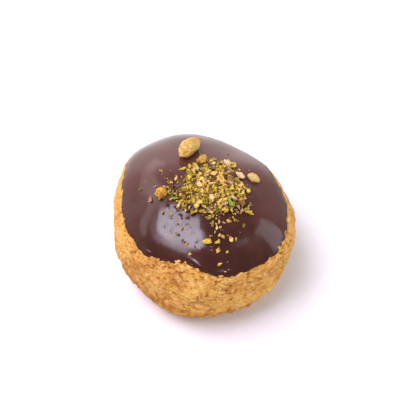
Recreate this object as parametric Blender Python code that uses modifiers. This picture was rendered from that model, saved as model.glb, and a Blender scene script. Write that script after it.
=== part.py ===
"""A round danish pastry bun, iced with chocolate and sprinkled with chopped pistachio.

The bun is one solid, with its crackled crust as relief and a flat foot to stand on. The icing is
a thin shell over the dome, with the chopped crumbs fused to it. The four pieces of nut that are
too big to be crumbs are solids of their own. Everything is in metres, +Z up, with the origin at
the bottom in the middle of the box. The front, where the icing reaches lowest, faces -Y.
"""

import math
import random
from collections import namedtuple

import bmesh
import bpy
from mathutils import Matrix, Vector, noise

MM = 0.001

# The bun's smooth form: a fuller dome above the belly, and a rounder bowl cut flat below it.
BELLY_RADIUS = 44.0 * MM
BELLY_HEIGHT = 29.0 * MM
DOME_RISE = 29.2 * MM
DOME_FULLNESS = 2.27
BOWL_DEPTH = 41.6 * MM
BOWL_FULLNESS = 2.31

# The swells below pull the bun off its axis, so the axis stands this far off the origin. Plan
# positions of the toppings are measured from the axis.
AXIS_X = -1.9 * MM
AXIS_Y = -1.0 * MM
MIDDLE = Vector((AXIS_X, AXIS_Y, BELLY_HEIGHT))

# Uneven rising: how many swells go round, then their heading in degrees and their share of the
# radius, first for the dome and then for the bowl.
SWELLS = (
    (1, 148, 0.021, 44, 0.070),
    (2, -49, 0.076, -85, 0.022),
    (3, 2, 0.034, -1, 0.024),
    (4, -29, 0.007, 18, 0.018),
    (5, -9, 0.019, -34, 0.011),
    (6, -24, 0.031, 10, 0.025),
)

# Bumps and dents: azimuth and fall of the middle and reach, all in degrees, and height.
BUMPS = (
    (120, 70, 14, -0.5 * MM),
    (157, 80, 6, -2.8 * MM),
    (-175, 93, 8, -2.0 * MM),
    (-18, 97, 8, -1.7 * MM),
    (-118, 119, 14, -0.6 * MM),
    (-70, 119, 14, -0.6 * MM),
)

# The crisp upper crust ends low on the bowl in a lip, and the softer foot starts under it.
LIP_FALL = 101.0
LIP_PROUD = 0.8 * MM
FOOT_RECESS = 1.2 * MM
LIP_FADE = 9.0
LIP_HALF = 0.9
LIP_WAVES = ((2, -50, 6.0), (5, 20, 1.2), (9, 0, 0.7))

# Relief of the crust: it stands proud of the form, with broad lumps and cracks between plates.
# It starts a little below the icing's edge and dies away again close to the ground.
CRUST_PROUD = 0.4 * MM
LUMP_SIZE = 11.0 * MM
LUMP_HEIGHT = 0.9 * MM
PLATE_SIZE = 9.0 * MM
CRACK_DEPTH = 1.2 * MM
CRACK_WIDTH = 0.24
RELIEF_START = 1.0
RELIEF_FADE = 4.0
GROUND_FADE = 5.0 * MM
GROUND_CLEAR = 0.2 * MM

# The icing: its edge as a fall from straight up, in degrees, and how it wanders round the bun.
ICING_FALL = 66.3
ICING_WAVES = (
    (1, -31, 2.5),
    (2, -30, 2.3),
    (3, -41, 1.2),
    (4, 37, 1.1),
    (5, 13, 0.8),
    (6, 0, 0.5),
    (7, 24, 0.5),
    (8, 11, 0.8),
    (16, 3, 0.3),
)

# Behind, the icing ran lower: heading and half width of that stretch, how abruptly it begins, and
# how much further it reaches, in degrees.
BACK_RUN_AT = 86.0
BACK_RUN_HALF = 57.0
BACK_RUN_POWER = 8
BACK_RUN = 10.0
ICING_THICKNESS = 1.3 * MM
ICING_GAP = 0.35 * MM
ICING_EDGE_ROUND = 0.5 * MM
RIM_ANGLE = 50.0

# The icing's smallest ring, which is filled to close the crown, lies within this of the top.
CROWN_DIP = 3.0 * MM

# Chopped pistachio. Each patch: middle x and y, half widths in x and y, number of crumbs.
CRUMB_PATCHES = (
    (4.5, -1.0, 12.0, 13.0, 76),
    (8.0, 14.0, 5.5, 5.0, 11),
    (17.0, -3.0, 5.0, 9.0, 16),
    (-9.5, -4.0, 7.0, 4.5, 13),
    (22.0, -12.0, 3.0, 2.0, 4),
    (7.5, -24.0, 6.0, 7.0, 14),
    (17.0, -19.5, 4.0, 2.5, 3),
    (-10.0, -20.0, 8.0, 8.0, 9),
    (-5.5, -32.0, 2.0, 2.0, 1),
    (9.2, -35.6, 1.0, 1.0, 1),
    (-22.5, -3.5, 1.0, 1.0, 1),
    (-6.5, 11.0, 2.5, 2.0, 2),
    (-20.0, 7.0, 7.0, 4.0, 3),
)
CRUMB_SIZES = (1.7 * MM, 3.2 * MM)
CRUMB_FINENESS = 1.4
CRUMB_SPACING = 0.92
CRUMB_BLOCK = 0.72
CRUMB_KNOCKS = (0.72, 1.12)
CRUMB_TUMBLE = 0.9
CRUMB_LIFT = 0.14
CRUMB_TRIES = 60
CRUMB_SEED = 4

# Under the middle of the crumbs lies a low heap of more crumbs: middle, half widths and rise.
HEAP_X = 5.5 * MM
HEAP_Y = -1.0 * MM
HEAP_HALF_X = 11.5 * MM
HEAP_HALF_Y = 12.5 * MM
HEAP_RISE = 1.5 * MM
HEAP_SUNK = 0.6 * MM

# Nut pieces: plan x and y of the middle, heading in degrees, length, width and thickness in mm,
# how broken the form is, how finely its ball is divided, and its colour.
NutPiece = namedtuple("NutPiece", "name x y heading length width thickness broken fine colour")
NUT_PIECES = (
    NutPiece("nut_kernel", -4.8, 21.5, 60, 16.2, 8.2, 6.6, 0.10, 3, (0.72, 0.45, 0.15)),
    NutPiece("nut_chunk", 0.9, 14.1, 75, 5.8, 5.0, 4.8, 0.32, 2, (0.48, 0.25, 0.07)),
    NutPiece("nut_half", 24.2, 7.1, -27, 6.5, 4.5, 3.0, 0.10, 2, (0.74, 0.52, 0.17)),
    NutPiece("nut_shard", -16.8, -3.7, 58, 7.2, 4.6, 3.8, 0.36, 2, (0.70, 0.36, 0.06)),
)
NUT_TAPER = 0.5
NUT_CHIPS = 2.6
NUT_GAP = 0.3 * MM
NUT_CLEAR = 0.4 * MM

# How finely each form is divided.
BUN_AROUND = 92
BUN_RINGS = 28
RINGS_UNDER_ICING = 5
RINGS_ABOVE_LIP = 13
ICING_AROUND = 60
ICING_RINGS = 8
HEAP_SUBDIVISIONS = 3

CRUST_COLOUR = (0.80, 0.45, 0.16)
ICING_COLOUR = (0.055, 0.018, 0.014)
CRUST_ROUGHNESS = 0.75
ICING_ROUGHNESS = 0.2
NUT_ROUGHNESS = 0.65


def clear_scene():
    for obj in list(bpy.data.objects):
        bpy.data.objects.remove(obj)


def make_collection(name):
    collection = bpy.data.collections.new(name)
    bpy.context.scene.collection.children.link(collection)
    return collection


def make_material(name, colour, roughness):
    material = bpy.data.materials.new(name)
    material.use_nodes = True
    shader = material.node_tree.nodes["Principled BSDF"]
    shader.inputs["Base Color"].default_value = (*colour, 1.0)
    shader.inputs["Roughness"].default_value = roughness
    shader.inputs["Metallic"].default_value = 0.0
    return material


def make_object(name, bm, collection, material=None):
    mesh = bpy.data.meshes.new(name)
    bm.to_mesh(mesh)
    bm.free()
    obj = bpy.data.objects.new(name, mesh)
    collection.objects.link(obj)
    if material:
        mesh.materials.append(material)
    return obj


def applied(obj):
    """Puts the object's evaluated mesh in place of its mesh and modifiers."""
    graph = bpy.context.evaluated_depsgraph_get()
    obj.data = bpy.data.meshes.new_from_object(obj.evaluated_get(graph))
    obj.modifiers.clear()


def waves(rows, azimuth):
    """Sum of waves round the bun, each given as count, heading in degrees and height."""
    return sum(
        height * math.cos(count * (azimuth - math.radians(heading)))
        for count, heading, height in rows
    )


def smooth_step(value):
    value = max(0.0, min(1.0, value))
    return value * value * (3 - 2 * value)


def edge_fall(azimuth):
    """Where the icing ends: a slow wave round the bun, and lower behind."""
    turn = (math.degrees(azimuth) - BACK_RUN_AT + 180) % 360 - 180
    run = BACK_RUN * math.exp(-((turn / BACK_RUN_HALF) ** BACK_RUN_POWER))
    return math.radians(ICING_FALL + waves(ICING_WAVES, azimuth) + run)


def lip_fall(azimuth):
    return math.radians(LIP_FALL + waves(LIP_WAVES, azimuth))


def form_radius(azimuth, fall):
    """Distance of the smooth form from the middle of the belly, in one direction."""
    upper = fall < math.pi / 2
    reach = DOME_RISE if upper else BOWL_DEPTH
    fullness = DOME_FULLNESS if upper else BOWL_FULLNESS
    across = (math.sin(fall) / BELLY_RADIUS) ** fullness
    along = (abs(math.cos(fall)) / reach) ** fullness
    low = (1 - math.cos(fall)) / 2
    dome = [(count, heading, share) for count, heading, share, _, _ in SWELLS]
    bowl = [(count, heading, share) for count, _, _, heading, share in SWELLS]
    swell = (1 - low) * waves(dome, azimuth) + low * waves(bowl, azimuth)
    smooth = (across + along) ** (-1 / fullness) * (1 + math.sin(fall) ** 2 * swell)
    return smooth + bumps(azimuth, fall)


def direction(azimuth, fall):
    level = math.sin(fall)
    return Vector((level * math.cos(azimuth), level * math.sin(azimuth), math.cos(fall)))


def bumps(azimuth, fall):
    """Height of the bumps and dents in one direction."""
    total = 0.0
    for heading, down, reach, height in BUMPS:
        middle = direction(math.radians(heading), math.radians(down))
        away = (1 - direction(azimuth, fall).dot(middle)) / (1 - math.cos(math.radians(reach)))
        total += height * math.exp(-away)
    return total


def form_point(azimuth, fall, lift=0.0):
    return MIDDLE + direction(azimuth, fall) * (form_radius(azimuth, fall) + lift)


def form_normal(azimuth, fall):
    """Outward normal of the smooth form, from two short steps along it."""
    step = 0.002
    fall = max(fall, 2 * step)
    round_it = form_point(azimuth + step, fall) - form_point(azimuth - step, fall)
    down_it = form_point(azimuth, fall + step) - form_point(azimuth, fall - step)
    return down_it.cross(round_it).normalized()


def base_fall(azimuth):
    """The fall at which the bowl meets the ground."""
    low, high = math.pi / 2, math.pi
    for _ in range(40):
        middle = (low + high) / 2
        if form_point(azimuth, middle).z > 0:
            low = middle
        else:
            high = middle
    return low


def crust_relief(azimuth, fall):
    """How far the crust stands off the smooth form: lip, lumps and cracks, none under the icing."""
    point = form_point(azimuth, fall)
    below_lip = math.degrees(fall - lip_fall(azimuth))
    lip = LIP_PROUD if below_lip < 0 else -FOOT_RECESS
    lip *= math.exp(-abs(below_lip) / LIP_FADE)
    lumps = LUMP_HEIGHT * noise.noise(point / LUMP_SIZE)
    distances, _ = noise.voronoi(point / PLATE_SIZE)
    crack = math.exp(-(((distances[1] - distances[0]) / CRACK_WIDTH) ** 2))
    bare = smooth_step((math.degrees(fall - edge_fall(azimuth)) - RELIEF_START) / RELIEF_FADE)
    grounded = smooth_step(point.z / GROUND_FADE)
    return bare * (lip + grounded * (CRUST_PROUD + lumps - CRACK_DEPTH * crack))


def ring_fall(azimuth, ring):
    """The fall of one ring of the bun: rings follow the icing's edge, the lip and the base."""
    knots = (
        (0, 0.0),
        (RINGS_UNDER_ICING, edge_fall(azimuth)),
        (RINGS_UNDER_ICING + RINGS_ABOVE_LIP, lip_fall(azimuth) - math.radians(LIP_HALF)),
        (RINGS_UNDER_ICING + RINGS_ABOVE_LIP + 1, lip_fall(azimuth) + math.radians(LIP_HALF)),
        (BUN_RINGS - 1, base_fall(azimuth)),
    )
    for (first, start), (last, end) in zip(knots, knots[1:]):
        if ring <= last:
            return start + (end - start) * (ring - first) / (last - first)
    return math.pi


def make_bun(collection, material):
    """A sphere's rings, moved to the crust. The last ring is the foot's rim, flat on the ground."""
    bm = bmesh.new()
    bmesh.ops.create_uvsphere(bm, u_segments=BUN_AROUND, v_segments=BUN_RINGS, radius=1.0)
    for vertex in bm.verts:
        ring = round(math.acos(max(-1.0, min(1.0, vertex.co.z))) / math.pi * BUN_RINGS)
        azimuth = math.atan2(vertex.co.y, vertex.co.x)
        if ring == 0:
            vertex.co = form_point(0.0, 0.0)
        elif ring == BUN_RINGS:
            vertex.co = Vector((AXIS_X, AXIS_Y, 0.0))
        else:
            fall = ring_fall(azimuth, ring)
            vertex.co = form_point(azimuth, fall, crust_relief(azimuth, fall))
            vertex.co.z = 0.0 if ring == BUN_RINGS - 1 else max(vertex.co.z, GROUND_CLEAR)
    bun = make_object("bun", bm, collection, material)
    bun.data.shade_smooth()


def icing_point(azimuth, fall, lift):
    return form_point(azimuth, fall) + form_normal(azimuth, fall) * lift


def make_icing_shell(collection, material):
    """The icing's underside as an open cap, thickened outwards, with its rim taken off."""
    bm = bmesh.new()
    rows = ICING_RINGS - 1
    bmesh.ops.create_grid(bm, x_segments=ICING_AROUND, y_segments=rows, size=1.0)
    for vertex in bm.verts:
        azimuth = math.pi * vertex.co.x
        ring = 1 + rows * (1 - vertex.co.y) / 2
        vertex.co = icing_point(azimuth, edge_fall(azimuth) * ring / ICING_RINGS, ICING_GAP)
    bmesh.ops.remove_doubles(bm, verts=bm.verts, dist=0.01 * MM)
    top = max(vertex.co.z for vertex in bm.verts)
    rims = [edge for edge in bm.edges if edge.is_boundary]
    crown_ring = [edge for edge in rims if top - edge.verts[0].co.z < CROWN_DIP]
    bmesh.ops.triangle_fill(bm, edges=crown_ring, use_beauty=True)
    bmesh.ops.recalc_face_normals(bm, faces=bm.faces)
    icing = make_object("icing", bm, collection, material)
    shell = icing.modifiers.new("thickness", "SOLIDIFY")
    shell.thickness = ICING_THICKNESS
    shell.offset = 1.0
    rounding = icing.modifiers.new("rim", "BEVEL")
    rounding.width = ICING_EDGE_ROUND
    rounding.segments = 1
    rounding.limit_method = "ANGLE"
    rounding.angle_limit = math.radians(RIM_ANGLE)
    icing.modifiers.new("flat faces", "TRIANGULATE")
    applied(icing)
    return icing


def fall_at(reach, azimuth):
    """The fall at which the form lies at one reach from the axis, seen in plan."""
    low, high = 0.0, math.radians(80)
    for _ in range(40):
        middle = (low + high) / 2
        if form_radius(azimuth, middle) * math.sin(middle) < reach:
            low = middle
        else:
            high = middle
    return low


def top_of_icing(spot):
    """The point of the icing's outer face over a plan position, and its normal there."""
    azimuth = math.atan2(spot.y, spot.x)
    fall = fall_at(spot.length, azimuth)
    return icing_point(azimuth, fall, ICING_GAP + ICING_THICKNESS), form_normal(azimuth, fall)


def heap_rise(spot):
    """How far the low heap of crumbs stands over the icing at a plan position."""
    across = ((spot.x - HEAP_X) / HEAP_HALF_X) ** 2 + ((spot.y - HEAP_Y) / HEAP_HALF_Y) ** 2
    return HEAP_RISE * math.sqrt(max(0.0, 1 - across))


def lying_at(spot, heading, lift):
    """Matrix for a piece that lies on the icing, with its +X along a heading seen in plan."""
    point, normal = top_of_icing(spot)
    ahead = Vector((math.cos(heading), math.sin(heading), 0.0))
    along = (ahead - normal * ahead.dot(normal)).normalized()
    frame = Matrix((along, normal.cross(along), normal)).transposed().to_4x4()
    return Matrix.Translation(point + normal * lift) @ frame


def make_nut_piece(piece, collection):
    """A kernel or a broken piece of one: an egg-shaped form, pointed at +X and unevenly cut."""
    bm = bmesh.new()
    bmesh.ops.create_icosphere(bm, subdivisions=piece.fine, radius=0.5)
    for vertex in bm.verts:
        taper = 1 - NUT_TAPER * max(0.0, 2 * vertex.co.x) ** 1.5
        chip = noise.noise(vertex.co * NUT_CHIPS + Vector((piece.x, piece.y, 0.0)))
        chip = 1 + piece.broken * chip
        vertex.co.x *= piece.length * MM * chip
        vertex.co.y *= piece.width * MM * chip * taper
        vertex.co.z *= piece.thickness * MM * chip * taper
    lowest = min(vertex.co.z for vertex in bm.verts)
    spot = Vector((piece.x, piece.y)) * MM
    place = lying_at(spot, math.radians(piece.heading), NUT_GAP - lowest)
    bmesh.ops.transform(bm, matrix=place, verts=bm.verts)
    material = make_material(piece.name, piece.colour, NUT_ROUGHNESS)
    make_object(piece.name, bm, collection, material).data.shade_smooth()


def clear_of_nuts(spot, size):
    """Whether a crumb of this size leaves room round every nut piece, each seen as an ellipse."""
    margin = size / 2 + NUT_CLEAR
    for piece in NUT_PIECES:
        away = spot - Vector((piece.x, piece.y)) * MM
        away.rotate(Matrix.Rotation(math.radians(-piece.heading), 2))
        along = away.x / (piece.length * MM / 2 + margin)
        across = away.y / (piece.width * MM / 2 + margin)
        if along**2 + across**2 < 1:
            return False
    return True


def crumb_places(rng):
    """Plan positions and sizes of the crumbs, kept apart from each other and from the nuts."""
    smallest, largest = CRUMB_SIZES
    placed = []
    for x, y, half_x, half_y, count in CRUMB_PATCHES:
        wanted = len(placed) + count
        for _ in range(count * CRUMB_TRIES):
            if len(placed) == wanted:
                break
            angle = rng.uniform(0, 2 * math.pi)
            reach = math.sqrt(rng.random())
            size = smallest + (largest - smallest) * rng.random() ** CRUMB_FINENESS
            away = Vector((half_x * math.cos(angle), half_y * math.sin(angle))) * reach
            spot = (Vector((x, y)) + away) * MM
            apart = all(
                (spot - other).length > CRUMB_SPACING * (size + other_size) / 2
                for other, other_size in placed
            )
            if apart and clear_of_nuts(spot, size):
                placed.append((spot, size))
    return placed


def make_crumb(index, spot, size, rng, collection):
    """One chopped crumb: a block knocked out of shape, partly sunk in what it lies on."""
    bm = bmesh.new()
    bmesh.ops.create_cube(bm, size=size * CRUMB_BLOCK)
    bmesh.ops.triangulate(bm, faces=bm.faces)
    for vertex in bm.verts:
        vertex.co *= rng.uniform(*CRUMB_KNOCKS)
    tumble = Matrix.Rotation(rng.uniform(-CRUMB_TUMBLE, CRUMB_TUMBLE), 4, "X")
    tumble @= Matrix.Rotation(rng.uniform(-CRUMB_TUMBLE, CRUMB_TUMBLE), 4, "Y")
    lift = heap_rise(spot) + size * CRUMB_LIFT
    place = lying_at(spot, rng.uniform(0, 2 * math.pi), lift) @ tumble
    bmesh.ops.transform(bm, matrix=place, verts=bm.verts)
    make_object(f"crumb_{index}", bm, collection)


def make_heap_core(collection):
    """The low heap under the crumbs: a flat ball bent over the dome, its underside in the icing."""
    bm = bmesh.new()
    bmesh.ops.create_icosphere(bm, subdivisions=HEAP_SUBDIVISIONS, radius=1.0)
    for vertex in bm.verts:
        x, y, z = vertex.co
        point, normal = top_of_icing(Vector((HEAP_X + HEAP_HALF_X * x, HEAP_Y + HEAP_HALF_Y * y)))
        vertex.co = point + normal * (z * HEAP_RISE if z > 0 else z * HEAP_SUNK)
    make_object("heap_core", bm, collection)


def fuse(obj, collection):
    """One union of the object with everything in the collection, which is then removed."""
    union = obj.modifiers.new("crumbs", "BOOLEAN")
    union.operation = "UNION"
    union.operand_type = "COLLECTION"
    union.collection = collection
    union.solver = "EXACT"
    applied(obj)
    for piece in list(collection.objects):
        bpy.data.objects.remove(piece)
    bpy.data.collections.remove(collection)


def island(face):
    """Every face that can be reached from this one across shared edges."""
    found, waiting = {face}, [face]
    while waiting:
        for edge in waiting.pop().edges:
            fresh = set(edge.link_faces) - found
            found |= fresh
            waiting.extend(fresh)
    return found


def keep_body(obj):
    """Fills the hollows that the union sealed between crumbs, and drops loose scraps."""
    bm = bmesh.new()
    bm.from_mesh(obj.data)
    left, islands = set(bm.faces), []
    while left:
        islands.append(island(next(iter(left))))
        left -= islands[-1]
    body = max(islands, key=len)
    bmesh.ops.delete(bm, geom=[face for face in bm.faces if face not in body], context="FACES")
    bm.to_mesh(obj.data)
    bm.free()


def main():
    clear_scene()
    pastry = make_collection("danish_pastry")
    crumbs = make_collection("crumbs")
    make_bun(pastry, make_material("baked crust", CRUST_COLOUR, CRUST_ROUGHNESS))
    chocolate = make_material("chocolate icing", ICING_COLOUR, ICING_ROUGHNESS)
    icing = make_icing_shell(pastry, chocolate)
    make_heap_core(crumbs)
    rng = random.Random(CRUMB_SEED)
    for index, (spot, size) in enumerate(crumb_places(rng)):
        make_crumb(index, spot, size, rng, crumbs)
    fuse(icing, crumbs)
    keep_body(icing)
    for piece in NUT_PIECES:
        make_nut_piece(piece, pastry)


main()
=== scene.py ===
# %% [markdown]
# # A pastry bun iced with chocolate and sprinkled with chopped pistachio
#
# The real thing is a baked bun, a little taller on one side than on the other. Its upper half was
# dipped in dark chocolate icing, and while the icing was soft a spoonful of chopped pistachio was
# dropped on it, with one whole kernel. Three finishes have to read at a glance: a dry golden crust,
# a wet dark gloss, and small matt crumbs of many colours.
#
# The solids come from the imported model. They carry the size and the collision, so this script only
# dresses them: each piece below keeps the form of the solid it stands for.

import math
import random

import bmesh
import bpy
import numpy as np
from mathutils import Matrix, Vector, noise


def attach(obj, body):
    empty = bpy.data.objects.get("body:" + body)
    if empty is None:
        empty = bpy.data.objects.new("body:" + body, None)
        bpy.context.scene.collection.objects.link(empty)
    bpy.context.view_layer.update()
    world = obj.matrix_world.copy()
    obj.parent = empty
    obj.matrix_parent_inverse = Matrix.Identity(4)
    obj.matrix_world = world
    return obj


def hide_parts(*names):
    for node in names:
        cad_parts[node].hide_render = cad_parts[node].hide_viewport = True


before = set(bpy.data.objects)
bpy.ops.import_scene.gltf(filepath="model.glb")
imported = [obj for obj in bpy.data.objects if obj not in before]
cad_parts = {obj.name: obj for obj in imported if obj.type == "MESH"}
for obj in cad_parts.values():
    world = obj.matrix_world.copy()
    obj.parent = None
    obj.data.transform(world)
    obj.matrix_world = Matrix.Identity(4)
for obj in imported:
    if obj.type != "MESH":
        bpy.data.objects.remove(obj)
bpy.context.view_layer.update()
MM = 0.001
print("solids:", ", ".join(sorted(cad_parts)))

# %% [markdown]
# ## The form of the bun
#
# A bun that rises in the oven is neither a ball nor a bowl. Sculpting would work, but a formula
# can be asked for a point, a normal or a height anywhere, and the icing, the nuts and the crumbs
# all need that. So the form is a radius for every direction: a superellipse for the dome, another
# for the lower half, and a few slow waves that make it lopsided.
#
# A direction is given by two angles. The azimuth goes round the bun, and the front is at minus 90
# degrees. The fall is the angle from straight up, so it is 0 on top and 90 at the belly.

# %% The smooth form
BELLY_RADIUS = 44.0 * MM
BELLY_HEIGHT = 29.0 * MM
DOME_RISE = 29.2 * MM
DOME_FULLNESS = 2.27
BOWL_DEPTH = 41.6 * MM
BOWL_FULLNESS = 2.31
AXIS = Vector((-1.9 * MM, -1.0 * MM, 0.0))
MIDDLE = np.array((AXIS.x, AXIS.y, BELLY_HEIGHT))

# Uneven rising: number of waves round, then heading in degrees and share of the radius, first for
# the dome and then for the lower half.
SWELLS = (
    (1, 148, 0.021, 44, 0.070),
    (2, -49, 0.076, -85, 0.022),
    (3, 2, 0.034, -1, 0.024),
    (4, -29, 0.007, 18, 0.018),
    (5, -9, 0.019, -34, 0.011),
    (6, -24, 0.031, 10, 0.025),
)

# Bumps and dents: azimuth and fall of the middle and reach, all in degrees, and height.
BUMPS = (
    (120, 70, 14, -0.5 * MM),
    (157, 80, 6, -2.8 * MM),
    (-175, 93, 8, -2.0 * MM),
    (-18, 97, 8, -1.7 * MM),
    (-118, 119, 14, -0.6 * MM),
    (-70, 119, 14, -0.6 * MM),
)


def waves(rows, azimuth):
    return sum(height * np.cos(count * (azimuth - np.radians(at))) for count, at, height in rows)


def direction(azimuth, fall):
    level = np.sin(fall)
    parts = (level * np.cos(azimuth), level * np.sin(azimuth), np.cos(fall) + 0 * azimuth)
    return np.stack(parts, axis=-1)


def mounds(rows, azimuth, fall):
    """Height of a few rounded bumps and dents in each direction."""
    total = 0.0
    for heading, down, reach, height in rows:
        middle = direction(np.radians(float(heading)), np.radians(float(down)))
        away = (1 - direction(azimuth, fall) @ middle) / (1 - np.cos(np.radians(reach)))
        total = total + height * np.exp(-away)
    return total


print("belly:", round(2 * BELLY_RADIUS / MM, 1), "mm across before it swells")

# %% Radius, points and normals of the form
def form_radius(azimuth, fall):
    upper = fall < np.pi / 2
    reach = np.where(upper, DOME_RISE, BOWL_DEPTH)
    fullness = np.where(upper, DOME_FULLNESS, BOWL_FULLNESS)
    across = (np.sin(fall) / BELLY_RADIUS) ** fullness
    along = (np.abs(np.cos(fall)) / reach) ** fullness
    low = (1 - np.cos(fall)) / 2
    dome = [(count, at, share) for count, at, share, _, _ in SWELLS]
    bowl = [(count, at, share) for count, _, _, at, share in SWELLS]
    swell = (1 - low) * waves(dome, azimuth) + low * waves(bowl, azimuth)
    smooth = (across + along) ** (-1 / fullness) * (1 + np.sin(fall) ** 2 * swell)
    return smooth + mounds(BUMPS, azimuth, fall)


def form_point(azimuth, fall, lift=0.0):
    return MIDDLE + direction(azimuth, fall) * (form_radius(azimuth, fall) + lift)[..., None]


def form_normal(azimuth, fall, step=0.002):
    fall = np.maximum(fall, 2 * step)
    around = form_point(azimuth + step, fall) - form_point(azimuth - step, fall)
    down = form_point(azimuth, fall + step) - form_point(azimuth, fall - step)
    normal = np.cross(down, around)
    return normal / np.linalg.norm(normal, axis=-1, keepdims=True)


apex = form_point(np.array(0.0), np.array(0.0))
print("top of the bare form, mm:", round(apex[2] / MM, 1))

# %% [markdown]
# ## Where the icing, the crust and the foot begin
#
# Seen from the top down, the bun has three bands. The icing ends in a slow wavy line. Below it the
# bare crust goes on past the belly and ends in a lip, where the baked skin stops. Under the lip is
# a softer foot that stood on the tray. The two borders are waves round the bun as well, and the
# ground cuts the form off at the height zero.

# %% Borders of the three bands
ICING_FALL = 66.3
ICING_WAVES = (
    (1, -31, 2.5), (2, -30, 2.3), (3, -41, 1.2), (4, 37, 1.1), (5, 13, 0.8),
    (6, 0, 0.5), (7, 24, 0.5), (8, 11, 0.8), (16, 3, 0.3),
)

# Behind, the icing ran lower: heading and half width of that stretch, how abruptly it begins, and
# how much further it reaches, in degrees.
BACK_RUN_AT = 86.0
BACK_RUN_HALF = 57.0
BACK_RUN_POWER = 8
BACK_RUN = 10.0
LIP_FALL = 101.0
LIP_WAVES = ((2, -50, 6.0), (5, 20, 1.2), (9, 0, 0.7))
HALVINGS = 30


def edge_fall(azimuth):
    turn = (np.degrees(azimuth) - BACK_RUN_AT + 180) % 360 - 180
    run = BACK_RUN * np.exp(-((turn / BACK_RUN_HALF) ** BACK_RUN_POWER))
    return np.radians(ICING_FALL + waves(ICING_WAVES, azimuth) + run)


def lip_fall(azimuth):
    return np.radians(LIP_FALL + waves(LIP_WAVES, azimuth))


def by_halving(low, high, falls_short):
    """The value between low and high up to which falls_short is true."""
    for _ in range(HALVINGS):
        middle = (low + high) / 2
        short = falls_short(middle)
        low, high = np.where(short, middle, low), np.where(short, high, middle)
    return low


def base_fall(azimuth):
    """The fall at which the form meets the ground."""
    belly, bottom = np.full_like(azimuth, np.pi / 2), np.full_like(azimuth, np.pi)
    return by_halving(belly, bottom, lambda fall: form_point(azimuth, fall)[..., 2] > 0)


def round_the_bun(count):
    return np.linspace(0, 2 * np.pi, count, endpoint=False)


edge = np.degrees(edge_fall(round_the_bun(360))).round()
print("icing ends at a fall of", edge.min(), "to", edge.max(), "degrees")

# %% [markdown]
# ## Meshes from rings
#
# Both the crust and the icing are skins over the form, so both are rings of points stacked from a
# top point to a bottom point. A grid like this keeps its rows along the borders above, which a
# subdivided sphere would cut across, and it is closed without any repair.

# %% Rings of points into a closed mesh
def falls_between(knots, around):
    """Rows of falls between knots. A knot is a ring number and a fall for each azimuth."""
    rows = []
    for (first, start), (last, end) in zip(knots, knots[1:]):
        share = np.arange(last - first) / (last - first)
        rows.append(start * np.ones(around) + share[:, None] * (end - start) * np.ones(around))
    rows.append(knots[-1][1] * np.ones((1, around)))
    return np.concatenate(rows)


def add_object(name, data):
    obj = bpy.data.objects.new(name, data)
    bpy.context.scene.collection.objects.link(obj)
    return obj


def skin_of_rings(name, rings, top, bottom):
    """A closed mesh object through rings[ring, around], with a point to close either end."""
    count, around, _ = rings.shape
    points = np.concatenate([top[None], rings.reshape(-1, 3), bottom[None]])
    here = 1 + np.arange(count * around).reshape(count, around)
    beside = np.roll(here, -1, axis=1)
    quads = np.stack([here[:-1], here[1:], beside[1:], beside[:-1]], axis=-1).reshape(-1, 4)
    cap = np.stack([np.zeros(around, int), here[0], beside[0]], axis=-1)
    last = len(points) - 1
    floor = np.stack([np.full(around, last), beside[-1], here[-1]], axis=-1)
    mesh = bpy.data.meshes.new(name)
    mesh.from_pydata(points.tolist(), [], cap.tolist() + quads.tolist() + floor.tolist())
    mesh.shade_smooth()
    return add_object(name, mesh)


def keep_values(obj, name, values):
    """Stores one number for each point of the mesh, for the material to read."""
    layer = obj.data.attributes.new(name, "FLOAT", "POINT")
    layer.data.foreach_set("value", np.asarray(values, np.float32).ravel())


def keep_on_rings(obj, name, top, values, under):
    """Stores values for the rings that show, one for the top point, and one for all below them."""
    below = np.full(len(obj.data.vertices) - 1 - values.size, under)
    keep_values(obj, name, np.concatenate([[top], values.ravel(), below]))


print("helpers ready: rings and stored values")

# %% Noise, patches and cells
def smooth_step(value):
    value = np.clip(value, 0.0, 1.0)
    return value * value * (3 - 2 * value)


def noise_at(points, size):
    """Soft noise from -1 to 1 for each point, with features of about this size."""
    flat = (points / size).reshape(-1, 3)
    return np.array([noise.noise(p) for p in flat.tolist()]).reshape(points.shape[:-1])


def patches_at(points, size, middle, contrast):
    """1 in patches of about this size and 0 between them. A higher middle leaves less between
    them, and a higher contrast makes their borders sharper."""
    return smooth_step(middle + contrast * noise_at(points, size))


def cells_at(points, size):
    """For each point, the distance to the middle of its cell, how much further off the next middle
    is, and a random number from 0 to 1 that belongs to the cell."""
    found = [noise.voronoi(p) for p in (points / size).reshape(-1, 3).tolist()]
    near = np.array([distances[0] for distances, _ in found])
    next_one = np.array([distances[1] for distances, _ in found])
    middles = np.array([places[0][:] for _, places in found])
    own = np.modf(np.abs(np.sin(middles @ (12.9, 78.2, 37.7)) * 4375.8))[0]
    return [values.reshape(points.shape[:-1]) for values in (near, next_one - near, own)]


print("helpers ready: noise, patches and cells")

# %% [markdown]
# ## The crust
#
# A baked crust is rough at every scale. The form already has the slow swells. On it come lumps of
# about a centimetre, plates with shallow cracks between them, short dashes where the skin tore as
# it rose, which run round the bun, and a sandy grain of bumps and pits. The foot, where the dough
# slumped, has ridges that run up and down. A bump map alone would leave the outline smooth, so
# everything down to half a millimetre is moved in the mesh, and only the grain finer than that is
# left to the finish.
#
# The large lumps, the plates and the lip are those of the solid. The finer parts are added to it.
# Close to the icing the crust rises a little, so that the icing lies in it and not on it.

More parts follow.
